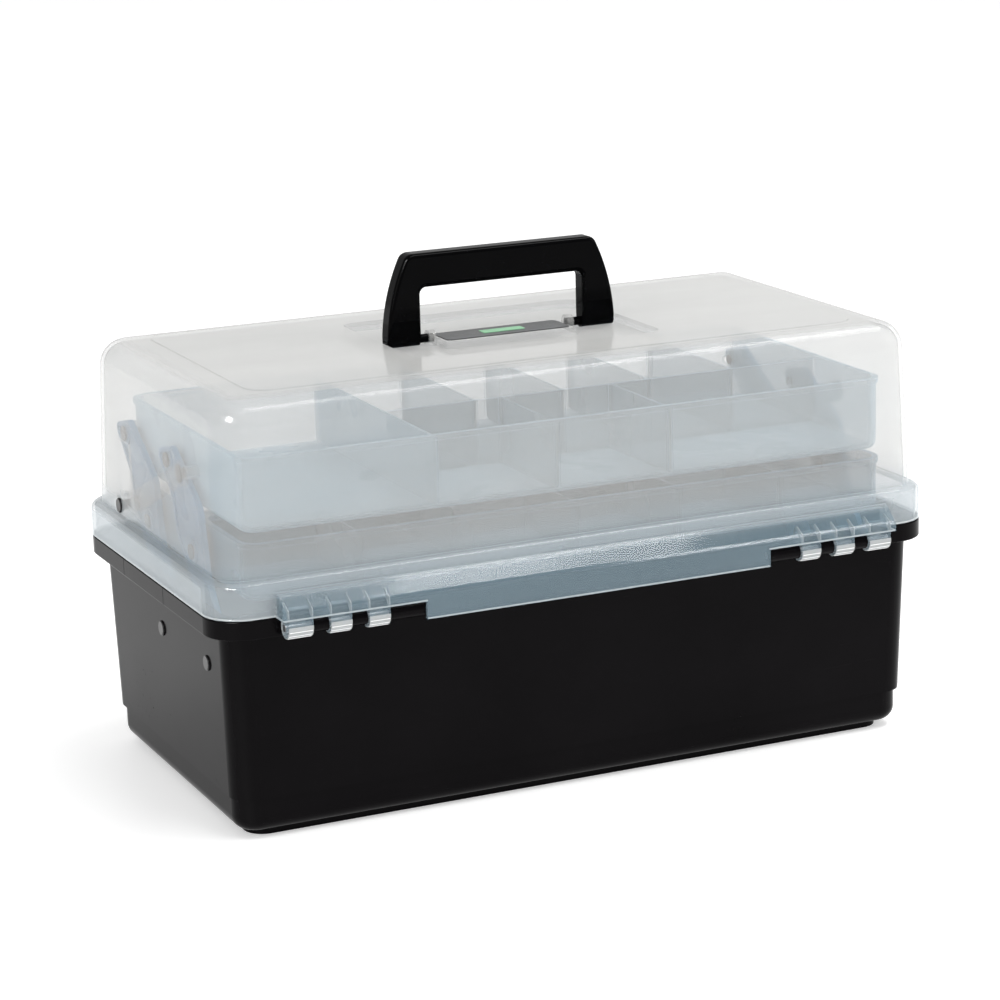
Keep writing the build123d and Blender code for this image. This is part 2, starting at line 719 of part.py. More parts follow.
def make_upper_dividers():
    """Loose dividers of the upper tray."""
    _, front, rear = inner_limits(upper_tray_front)
    row = rear - upper_rear_row
    z = (upper_tray_floor + tray_wall, upper_tray_rim - partition_drop)
    rear_set = [divider(x, row, rear, *z) for x in upper_rear_dividers]
    front_set = [divider(x, front, row - partition_wall, *z) for x in upper_front_places()]
    return rear_set + front_set


def arm_outline():
    """The elbowed arm, along its pin line and towards its upper side, with rounded corners."""
    head = [(arm_length + along, across, radius) for along, across, radius in arm_head]
    corners = [*arm_foot, *head, arm_heel]
    face = make_face(Polyline([(along, across) for along, across, _ in corners], close=True))
    for along, across, radius in corners:
        corner = face.vertices().sort_by_distance((along, across, 0))[0]
        face = fillet(corner, radius)
    return face


def make_arm(base_y, tray_clearance):
    """One arm on the +X side, with ribbed edges and three bores."""
    face = arm_outline()
    frame = Plane(origin=(arm_inner, base_y, arm_pin_z),
                  x_dir=(0, -sin(radians(arm_lean_closed)), cos(radians(arm_lean_closed))),
                  z_dir=(-1, 0, 0))
    arm = extrude(frame * face, amount=-arm_thickness)
    pocket = offset(face, -arm_rib, kind=Kind.INTERSECTION)
    bosses = [Pos(distance, 0) * Circle(pin_boss) for distance in (0, arm_lower_pin, arm_length)]
    for boss in bosses:
        pocket -= boss
    arm -= extrude(Pos(arm_thickness - arm_recess, 0, 0) * (frame * pocket), amount=-arm_recess - 1)
    fits = ((0, running_clearance), (arm_lower_pin, tray_clearance), (arm_length, tray_clearance))
    for distance, clearance in fits:
        y, z = lean_point(base_y, distance, arm_lean_closed)
        arm -= rod(arm_inner - 1, arm_outer + 1, y, z, pin_radius + clearance)
    return arm


def make_arm_pins():
    """The pins that carry the arms at one end: a head outside, a cap inside."""
    return [headed_pin(arm_inner, pin_head_seat(), arm_pin_crown, y, arm_pin_z) for y in arm_pin_y]


def headed_pin(inner_face, seat, crown, y, z):
    """A pin with a flat cap inside the piece it carries and a bevelled head in its seat outside."""
    cap = inner_face - pin_head_gap
    pin = rod(cap, seat + overlap, y, z, pin_radius)
    pin += rod(cap - pin_head_height, cap, y, z, pin_head)
    head = rod(seat, seat + crown, y, z, pin_head - pin_head_fit)
    return pin + chamfer(head.faces().sort_by(Axis.X)[-1].edges(), pin_head_bevel)


def make_tray_pins(distance):
    """Four pins of one tray: from inside its end walls, through the arms, to a head."""
    pins = []
    for y, z in tray_pins(distance):
        head = arm_outer + pin_head_gap
        pin = rod(tray_end - tray_lip - tray_wall - tray_pin_inside, head, y, z, pin_radius)
        pin += rod(head, head + pin_head_height, y, z, pin_head)
        pins += [pin, mirror(pin, about=Plane.YZ)]
    return pins


def make_link():
    """The stay from the lid's end wall to the upper tray, on the +X side."""
    y, z = link_stud()
    span = Vector(0, y - link_pin_y, z - link_pin_z)
    frame = Plane(origin=(link_inner, link_pin_y, link_pin_z), x_dir=(0, span.Y, span.Z), z_dir=(-1, 0, 0))
    face = Circle(link_eye) + Pos(span.length, 0) * Circle(link_eye)
    face += Pos(span.length / 2, 0) * Rectangle(span.length, 2 * link_half_width)
    link = extrude(frame * face, amount=-link_thickness)
    link -= rod(link_inner - 1, link_outer + 1, link_pin_y, link_pin_z, pin_radius + running_clearance)
    return link - rod(link_inner - 1, link_outer + 1, y, z, rivet_radius)


def make_link_pin():
    """The pin that holds one link to the lid's end wall."""
    seat = lid_wall_x(link_pin_z) - link_pin_sink
    return headed_pin(link_inner, seat, link_pin_crown, link_pin_y, link_pin_z)


def make_link_rivet():
    """The rivet at the link's tray end."""
    y, z = link_stud()
    rivet = rod(link_inner, link_outer, y, z, rivet_radius)
    return rivet + rod(link_outer, link_outer + pin_head_height, y, z, rivet_head)


def group(solids):
    """Several separate solids kept together in one node."""
    parts = []
    for solid in solids:
        parts += solid.solids()
    return Compound(children=parts)


def to_left(shape):
    """The same piece at the -X end."""
    return mirror(shape, about=Plane.YZ)


def build():
    """Every node by name."""
    rear_arm = make_arm(arm_pin_y[0], running_clearance)
    front_arm = make_arm(arm_pin_y[1], open_pivot_clearance)
    latch = make_latch()
    latch_pin = make_latch_pin()
    hinge_rod = make_hinge_rod()
    link = make_link()
    link_pin = make_link_pin()
    link_rivet = make_link_rivet()
    arm_pins = make_arm_pins()
    return {
        "tub": make_tub(),
        "lid": make_lid(),
        "handle": make_handle(),
        "badge": make_badge(),
        "badge_stripe": make_badge_stripe(),
        "hinge_rod_right": hinge_rod,
        "hinge_rod_left": to_left(hinge_rod),
        "latch_right": latch,
        "latch_left": to_left(latch),
        "latch_pin_right": latch_pin,
        "latch_pin_left": to_left(latch_pin),
        "lower_tray": make_lower_tray(),
        "lower_tray_dividers": group(make_lower_dividers()),
        "upper_tray": make_upper_tray(),
        "upper_tray_dividers": group(make_upper_dividers()),
        "rear_arm_right": rear_arm,
        "rear_arm_left": to_left(rear_arm),
        "front_arm_right": front_arm,
        "front_arm_left": to_left(front_arm),
        "arm_pins_right": group(arm_pins),
        "arm_pins_left": group([to_left(pin) for pin in arm_pins]),
        "lower_tray_pins": group(make_tray_pins(arm_lower_pin)),
        "upper_tray_pins": group(make_tray_pins(arm_length)),
        "lid_link_right": link,
        "lid_link_left": to_left(link),
        "lid_link_pins": group([link_pin, to_left(link_pin)]),
        "lid_link_rivets": group([link_rivet, to_left(link_rivet)]),
    }


os.makedirs("parts", exist_ok=True)
for name, shape in build().items():
    export_step(shape, "parts/" + name + ".step")
    print(name, len(shape.solids()), "solids", round(shape.volume), "mm3")
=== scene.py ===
"""Sewing box with trays: finishes, small moulded detail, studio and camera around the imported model.

Lengths are metres, in the model's own frame: X along the long side, Y towards the hinge side, Z up.
"""
from __future__ import annotations

import json
import logging
import math
from dataclasses import dataclass, field
from enum import Enum

import bmesh
import bpy
from mathutils import Matrix, Vector


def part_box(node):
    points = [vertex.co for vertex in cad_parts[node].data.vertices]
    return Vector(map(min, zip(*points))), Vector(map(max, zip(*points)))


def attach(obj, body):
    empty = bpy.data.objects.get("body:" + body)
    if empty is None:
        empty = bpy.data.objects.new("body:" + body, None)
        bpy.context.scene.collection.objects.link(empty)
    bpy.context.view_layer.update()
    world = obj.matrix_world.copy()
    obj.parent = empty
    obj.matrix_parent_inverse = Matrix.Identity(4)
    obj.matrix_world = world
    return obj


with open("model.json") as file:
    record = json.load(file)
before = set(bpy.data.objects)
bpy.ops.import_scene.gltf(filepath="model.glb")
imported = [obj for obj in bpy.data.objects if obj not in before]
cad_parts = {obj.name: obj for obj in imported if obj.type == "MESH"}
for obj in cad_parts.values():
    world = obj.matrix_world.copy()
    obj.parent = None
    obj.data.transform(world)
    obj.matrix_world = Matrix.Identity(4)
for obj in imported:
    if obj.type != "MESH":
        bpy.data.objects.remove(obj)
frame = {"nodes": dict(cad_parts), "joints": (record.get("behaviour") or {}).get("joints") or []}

LOG = logging.getLogger("sewing_box")
MM = 0.001
PLASTIC_IOR = 1.49
# Sockets of a Mix node in its colour mode; its other modes use the same socket names.
MIX_FACTOR, MIX_FIRST, MIX_SECOND, MIX_RESULT = 0, 6, 7, 2

Colour = tuple[float, float, float]
Socket = bpy.types.NodeSocket


class Side(Enum):
    """Ends of the box, as the model's node names give them."""

    RIGHT = "right"
    LEFT = "left"


class Slot(Enum):
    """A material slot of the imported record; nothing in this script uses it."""

    CLEAR = "clear_lid"


class Body(Enum):
    """Bodies of the model that added pieces ride on."""

    LID = "lid_assembly"


class Graph:
    """A material's node tree, with short calls to add and join nodes."""

    def __init__(self, name: str) -> None:
        """Start a material with an empty tree.

        Args:
            name: Name of the material.
        """
        self.material = bpy.data.materials.new(name)
        self.material.use_nodes = True
        self.tree = self.material.node_tree
        self.tree.nodes.clear()
        self.output = self.tree.nodes.new("ShaderNodeOutputMaterial")
        self.coords = self.tree.nodes.new("ShaderNodeTexCoord")

    def add(self, kind: str, inputs: dict | None = None, **settings: object) -> bpy.types.Node:
        """Add a node.

        Args:
            kind: Blender's name for the node type.
            inputs: Socket name to a value, or to an output socket to link from.
            settings: Attributes to set on the node.

        Returns:
            The new node.
        """
        node = self.tree.nodes.new(kind)
        for key, value in settings.items():
            setattr(node, key, value)
        for key, value in (inputs or {}).items():
            if isinstance(value, Socket):
                self.tree.links.new(value, node.inputs[key])
            else:
                node.inputs[key].default_value = value
        return node

    def place(self, stretch: tuple[float, float, float] = (1, 1, 1)) -> Socket:
        """Object coordinates, stretched along each axis.

        Args:
            stretch: Scale along X, Y and Z.

        Returns:
            The vector socket.
        """
        node = self.add("ShaderNodeMapping", {"Vector": self.coords.outputs["Object"]})
        node.inputs["Scale"].default_value = stretch
        return node.outputs["Vector"]

    def noise(self, scale: float, detail: float, seed: float,
              stretch: tuple[float, float, float] = (1, 1, 1)) -> Socket:
        """Fractal noise on object coordinates.

        Args:
            scale: Waves per metre.
            detail: Octaves.
            seed: Fixed offset in the fourth dimension.
            stretch: Scale along X, Y and Z.

        Returns:
            The value socket, about 0.5 in the middle.
        """
        values = {"Vector": self.place(stretch), "W": seed, "Scale": scale, "Detail": detail}
        node = self.add("ShaderNodeTexNoise", values, noise_dimensions="4D")
        return node.outputs["Fac"]

    def span(self, value: Socket, low: float, high: float, start: float = 0.3,
             end: float = 0.7) -> Socket:
        """Map a value from one span to another, clamped.

        Args:
            value: Socket to map.
            low: Result at start.
            high: Result at end.
            start: Start of the incoming span.
            end: End of the incoming span.

        Returns:
            The mapped socket.
        """
        node = self.add("ShaderNodeMapRange", {"Value": value, "From Min": start, "From Max": end,
                                               "To Min": low, "To Max": high})
        return node.outputs["Result"]

    def blend(self, factor: Socket, first: Colour | Socket, second: Colour | Socket) -> Socket:
        """Mix two colours by a factor.

        Args:
            factor: 0 gives the first colour, 1 the second.
            first: Linear colour, or a colour socket.
            second: Linear colour, or a colour socket.

        Returns:
            The colour socket.
        """
        ends = [end if isinstance(end, Socket) else (*end, 1.0) for end in (first, second)]
        node = self.add("ShaderNodeMix", {MIX_FACTOR: factor, MIX_FIRST: ends[0], MIX_SECOND: ends[1]},
                        data_type="RGBA")
        return node.outputs[MIX_RESULT]

    def total(self, first: Socket, second: Socket) -> Socket:
        """Add two values.

        Args:
            first: First value.
            second: Second value.

        Returns:
            The socket of their sum.
        """
        return self.add("ShaderNodeMath", {0: first, 1: second}, operation="ADD").outputs[0]

    def relief(self, height: Socket, depth: float, strength: float) -> Socket:
        """Turn a height into a bumped normal.

        Args:
            height: Height socket, 0 to 1.
            depth: Depth of the relief in metres.
            strength: Share of the bump that shows.

        Returns:
            The normal socket.
        """
        node = self.add("ShaderNodeBump", {"Height": height, "Distance": depth, "Strength": strength})
        return node.outputs["Normal"]

    def finish(self, **inputs: object) -> bpy.types.Material:
        """Close the tree with one principled shader.

        Args:
            inputs: Principled socket names, with underscores for spaces.

        Returns:
            The material.
        """
        named = {key.replace("_", " "): value for key, value in inputs.items()}
        shader = self.add("ShaderNodeBsdfPrincipled", named)
        self.tree.links.new(shader.outputs["BSDF"], self.output.inputs["Surface"])
        return self.material


@dataclass(frozen=True)
class BlackPolypropylene:
    """Glossy black moulded plastic with faint orange peel, handling haze and fine scuffs."""

    name: str = "black_polypropylene"
    colour: Colour = (0.0016, 0.0012, 0.0016)
    dusty: Colour = (0.0034, 0.0028, 0.0034)
    roughness: float = 0.14
    haze: float = 0.10
    scuffed: float = 0.10
    specular: float = 0.05
    peel: float = 0.08
    peel_depth: float = 0.12 * MM

    def material(self) -> bpy.types.Material:
        """Build the material."""
        graph = Graph(self.name)
        cloud = graph.noise(scale=14.0, detail=4.0, seed=1.0)
        scuff = graph.noise(scale=420.0, detail=2.0, seed=2.0, stretch=(0.06, 1.0, 1.0))
        tone = graph.blend(graph.span(cloud, 0.0, 1.0, start=0.35, end=0.75), self.colour, self.dusty)
        rough = graph.total(graph.span(cloud, self.roughness, self.roughness + self.haze),
                            graph.span(scuff, 0.0, self.scuffed, start=0.62, end=0.78))
        peel = graph.noise(scale=260.0, detail=2.0, seed=3.0)
        normal = graph.relief(peel, self.peel_depth, self.peel)
        return graph.finish(Base_Color=tone, Roughness=rough, Normal=normal, IOR=PLASTIC_IOR,
                            Specular_IOR_Level=self.specular)


@dataclass(frozen=True)
class ClearPolypropylene:
    """Milky clear plastic: see-through face on, whiter at a slant, with soft flow clouds.

    Painted light: below the skirt's top its colour turns to a blue cast of the trays, and behind the cover's
    start to painted shade of the dark hinge parts.
    """

    name: str = "clear_polypropylene"
    colour: Colour = (0.62, 0.62, 0.605)
    cloudy: Colour = (0.68, 0.68, 0.665)
    # painted light: a blue cast that stands for the trays' colour seen in the skirt
    skirt_painted_light: Colour = (0.60, 0.665, 0.70)
    # painted shade: the dark hinge parts under the cover, painted into its colour
    cover_painted_shade: Colour = (0.24, 0.335, 0.395)
    skirt_top: float = 148 * MM
    skirt_fade: tuple[float, float] = (-4 * MM, 14 * MM)
    cover_shade_start: float = 118 * MM
    cover_shade_fade: float = 3 * MM
    face_on: float = 0.24
    slant: float = 1.0
    skirt_veil: float = 0.09
    falloff: float = 0.35
    roughness: float = 0.06
    wear: float = 0.05
    ripple: float = 0.03
    ripple_depth: float = 0.30 * MM
    specular: float = 0.5

    def material(self) -> bpy.types.Material:
        """Build the material."""
        graph = Graph(self.name)
        cloud = graph.noise(scale=9.0, detail=5.0, seed=4.0, stretch=(0.5, 1.0, 1.6))
        place = graph.add("ShaderNodeSeparateXYZ", {"Vector": graph.coords.outputs["Object"]})
        # painted light: mask of the skirt's painted blue cast
        fade_from, fade_to = (self.skirt_top + step for step in self.skirt_fade)
        above_skirt_cast = graph.span(place.outputs["Z"], 0.0, 1.0, start=fade_from, end=fade_to)
        # painted shade: mask of the hinge cover's painted shade
        cover_shade_mask = graph.span(place.outputs["Y"], 0.0, 1.0, start=self.cover_shade_start,
                            end=self.cover_shade_start + self.cover_shade_fade)
        upper = graph.blend(graph.span(cloud, 0.0, 1.0), self.colour, self.cloudy)
        tone = graph.blend(above_skirt_cast, graph.blend(cover_shade_mask, self.skirt_painted_light, self.cover_painted_shade), upper)
        facing = graph.add("ShaderNodeLayerWeight", {"Blend": self.falloff}).outputs["Facing"]
        body = graph.span(facing, self.face_on, self.slant, start=0.53, end=0.80)
        veil = graph.total(body, graph.span(cloud, -0.02, 0.04))
        veil = graph.total(veil, graph.span(above_skirt_cast, self.skirt_veil, 0.0, start=0.0, end=1.0))
        handled = graph.noise(scale=20.0, detail=2.0, seed=5.0)
        rough = graph.span(handled, self.roughness, self.roughness + self.wear)
        ripple = graph.noise(scale=26.0, detail=1.0, seed=6.0)
        normal = graph.relief(ripple, self.ripple_depth, self.ripple)
        return graph.finish(Base_Color=tone, Roughness=rough, Alpha=veil, Normal=normal, IOR=PLASTIC_IOR,
                            Specular_IOR_Level=self.specular)


@dataclass(frozen=True)
class TintedPolypropylene:
    """Pale blue translucent plastic with a satin surface, deeper in colour at a slant."""

    name: str = "tinted_polypropylene"
    colour: Colour = (0.62, 0.74, 0.81)
    deep: Colour = (0.36, 0.57, 0.72)
    face_on: float = 0.22
    slant: float = 0.85
    falloff: float = 0.4
    roughness: float = 0.24
    wear: float = 0.12
    ripple: float = 0.04
    ripple_depth: float = 0.2 * MM

    def material(self) -> bpy.types.Material:
        """Build the material."""
        graph = Graph(self.name)
        cloud = graph.noise(scale=18.0, detail=4.0, seed=7.0)
        facing = graph.add("ShaderNodeLayerWeight", {"Blend": self.falloff}).outputs["Facing"]
        depth = graph.total(graph.span(facing, 0.0, 0.8, start=0.1, end=1.0), graph.span(cloud, -0.06, 0.10))
        tone = graph.blend(depth, self.colour, self.deep)
        body = graph.span(facing, self.face_on, self.slant, start=0.10, end=1.0)
        handled = graph.noise(scale=25.0, detail=2.0, seed=8.0)
        rough = graph.span(handled, self.roughness, self.roughness + self.wear)
        ripple = graph.noise(scale=40.0, detail=1.0, seed=9.0)
        normal = graph.relief(ripple, self.ripple_depth, self.ripple)
        return graph.finish(Base_Color=tone, Roughness=rough, Alpha=body, Normal=normal, IOR=PLASTIC_IOR)


@dataclass(frozen=True)
class DrawnSteel:
    """Bright drawn wire with lines along its length."""

    name: str = "drawn_steel"
    colour: Colour = (0.46, 0.46, 0.47)
    bright: Colour = (0.62, 0.62, 0.62)
    line_depth: float = 0.03 * MM

    def material(self) -> bpy.types.Material:
        """Build the material."""
        graph = Graph(self.name)
        lines = graph.noise(scale=2600.0, detail=3.0, seed=10.0, stretch=(0.02, 1.0, 1.0))
        tone = graph.blend(graph.span(lines, 0.0, 1.0), self.colour, self.bright)
        rough = graph.span(lines, 0.22, 0.42)
        normal = graph.relief(lines, self.line_depth, strength=0.4)
        return graph.finish(Base_Color=tone, Roughness=rough, Metallic=1.0, Normal=normal)


@dataclass(frozen=True)
class PrintedPlate:
    """Satin film, with a fine grain and slightly uneven ink."""

    name: str
    colour: Colour
    second: Colour
    grain_depth: float = 0.02 * MM

    def material(self) -> bpy.types.Material:
        """Build the material."""
        graph = Graph(self.name)
        grain = graph.noise(scale=1500.0, detail=2.0, seed=11.0)
        cloud = graph.noise(scale=90.0, detail=3.0, seed=12.0)
        tone = graph.blend(graph.span(cloud, 0.0, 1.0), self.colour, self.second)
        rough = graph.span(grain, 0.28, 0.42)
        normal = graph.relief(grain, self.grain_depth, strength=0.3)
        return graph.finish(Base_Color=tone, Roughness=rough, Normal=normal)


@dataclass(frozen=True)
class StudioFloor:
    """Matt white paper with a barely visible tooth and a glow that keeps it white."""

    name: str = "studio_paper"
    colour: Colour = (0.93, 0.93, 0.93)
    light: Colour = (0.95, 0.95, 0.95)
    roughness: float = 0.55
    glow: float = 0.42
    tooth_depth: float = 0.04 * MM

    def material(self) -> bpy.types.Material:
        """Build the material."""
        graph = Graph(self.name)
        cloud = graph.noise(scale=2.0, detail=2.0, seed=13.0)
        tone = graph.blend(graph.span(cloud, 0.0, 1.0), self.colour, self.light)
        tooth = graph.noise(scale=900.0, detail=2.0, seed=14.0)
        normal = graph.relief(tooth, self.tooth_depth, strength=0.1)
        return graph.finish(Base_Color=tone, Roughness=self.roughness, Normal=normal,
                            Emission_Strength=self.glow, Emission_Color=(1.0, 1.0, 1.0, 1.0))


def dress(node: str, material: bpy.types.Material) -> None:
    """Give a model node its finish.

    Args:
        node: Name of the node.
        material: Finish for all of its material slots.
    """
    piece = frame["nodes"][node]
    if not piece.material_slots:
        piece.data.materials.append(material)
    for place in piece.material_slots:
        place.material = material
    LOG.info("dressed %s in %s", node, material.name)


def pair(stem: str) -> list[str]:
    """Names of the two model nodes, one for each end, that start with stem."""
    return [f"{stem}_{side.value}" for side in Side]


class GeometryTree:
    """A Geometry Nodes tree built in the script and turned into a plain mesh."""

    def __init__(self, name: str) -> None:
        """Start a tree with one geometry output.

        Args:
            name: Name of the tree.
        """
        self.group = bpy.data.node_groups.new(name, "GeometryNodeTree")
        self.group.interface.new_socket("Geometry", in_out="OUTPUT", socket_type="NodeSocketGeometry")
        self.inputs: dict[str, float | int] = {}
        self.source = self.group.nodes.new("NodeGroupInput")
        self.result = self.group.nodes.new("NodeGroupOutput")

    def number(self, name: str, value: float, whole: bool = False) -> None:
        """Add a named input.

        Args:
            name: Name of the input.
            value: Value that the modifier gets.
            whole: True for a whole number.
        """
        kind = "NodeSocketInt" if whole else "NodeSocketFloat"
        self.group.interface.new_socket(name, in_out="INPUT", socket_type=kind)
        self.inputs[name] = int(value) if whole else float(value)

    def read(self, name: str) -> Socket:
        """Output socket of a named input."""
        return self.source.outputs[name]

    def add(self, kind: str, inputs: dict | None = None, **settings: object) -> bpy.types.Node:
        """Add a node, as in Graph.add.

        Args:
            kind: Blender's name for the node type.
            inputs: Socket name or number to a value or an output socket.
            settings: Attributes to set on the node.

        Returns:
            The new node.
        """
        node = self.group.nodes.new(kind)
        for key, value in settings.items():
            setattr(node, key, value)
        for key, value in (inputs or {}).items():
            if isinstance(value, Socket):
                self.group.links.new(value, node.inputs[key])
            else:
                node.inputs[key].default_value = value
        return node

    def bake(self, name: str, geometry: Socket, material: bpy.types.Material,
             place: Vector) -> bpy.types.Object:
        """End the tree, evaluate it once and keep the result as a plain mesh.

        Args:
            name: Name of the finished piece.
            geometry: Geometry to output, instances allowed.
            material: Finish of the piece.
            place: Where the tree's origin goes.

        Returns:
            The finished object, at the origin with its place in its mesh.
        """
        real = self.add("GeometryNodeRealizeInstances", {"Geometry": geometry})
        paint = self.add("GeometryNodeSetMaterial",
                         {"Geometry": real.outputs[0], "Material": material})
        self.group.links.new(paint.outputs[0], self.result.inputs[0])
        holder = bpy.data.objects.new(name + "_maker", bpy.data.meshes.new(name + "_maker"))
        bpy.context.scene.collection.objects.link(holder)
        modifier = holder.modifiers.new("make", "NODES")
        modifier.node_group = self.group
        for item in self.group.interface.items_tree:
            if item.in_out == "INPUT" and item.name in self.inputs:
                modifier[item.identifier] = self.inputs[item.name]
        holder.update_tag()
        bpy.context.view_layer.update()
        evaluated = holder.evaluated_get(bpy.context.evaluated_depsgraph_get())
        mesh = bpy.data.meshes.new_from_object(evaluated)
        holder.modifiers.remove(modifier)
        bpy.data.objects.remove(holder)
        mesh.transform(Matrix.Translation(place))
        mesh.name = name
        return link_mesh(name, mesh)


def link_mesh(name: str, mesh: bpy.types.Mesh) -> bpy.types.Object:
    """Put a mesh into the scene.

    Args:
        name: Name of the piece.
        mesh: Its mesh, already in place.

    Returns:
        The new object.
    """
    piece = bpy.data.objects.new(name, mesh)
    bpy.context.scene.collection.objects.link(piece)
    return piece


def merge(name: str, pieces: list[bpy.types.Object]) -> bpy.types.Object:
    """Join several plain meshes that share one finish.

    Args:
        name: Name of the joined piece.
        pieces: Objects to join, which are removed.

    Returns:
        The joined piece.
    """
    build = bmesh.new()
    for piece in pieces:
        build.from_mesh(piece.data)
    mesh = bpy.data.meshes.new(name)
    build.to_mesh(mesh)
    build.free()
    mesh.materials.append(pieces[0].data.materials[0])
    for piece in pieces:
        bpy.data.objects.remove(piece)
    for face in mesh.polygons:
        face.material_index = 0
    return link_mesh(name, mesh)


def shell(name: str, build: bmesh.types.BMesh, material: bpy.types.Material) -> bpy.types.Object:
    """Turn closed shells into a piece whose faces point outwards.

    Args:
        name: Name of the piece.
        build: Its shells, which are freed.
        material: Finish of the piece.

    Returns:
        The new object.
    """
    bmesh.ops.recalc_face_normals(build, faces=build.faces)
    mesh = bpy.data.meshes.new(name)
    build.to_mesh(mesh)
    build.free()
    mesh.materials.append(material)
    return link_mesh(name, mesh)


def settle(piece: bpy.types.Object, body: Body) -> None:
    """Let a finished piece ride on its body.

    Args:
        piece: The piece.
        body: Body that it moves with.
    """
    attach(piece, body.value)
    LOG.info("made %s with %d faces", piece.name, len(piece.data.polygons))


@dataclass
class Tub:
    """The black base, with the pins that carry the arms and the rods of the hinge."""

    finish: BlackPolypropylene = BlackPolypropylene()
    pins: BlackPolypropylene = BlackPolypropylene(name="black_pins", roughness=0.22, specular=0.4)
    steel: DrawnSteel = DrawnSteel()

    def dress(self) -> None:
        """Finish the tub, its pins and its rods."""
        dress("tub", self.finish.material())
        pins = self.pins.material()
        for node in (*pair("arm_pins"), "lower_tray_pins", "upper_tray_pins", "lid_link_pins",
                     "lid_link_rivets"):
            dress(node, pins)
        steel = self.steel.material()
        for node in (*pair("hinge_rod"), *pair("latch_pin")):
            dress(node, steel)


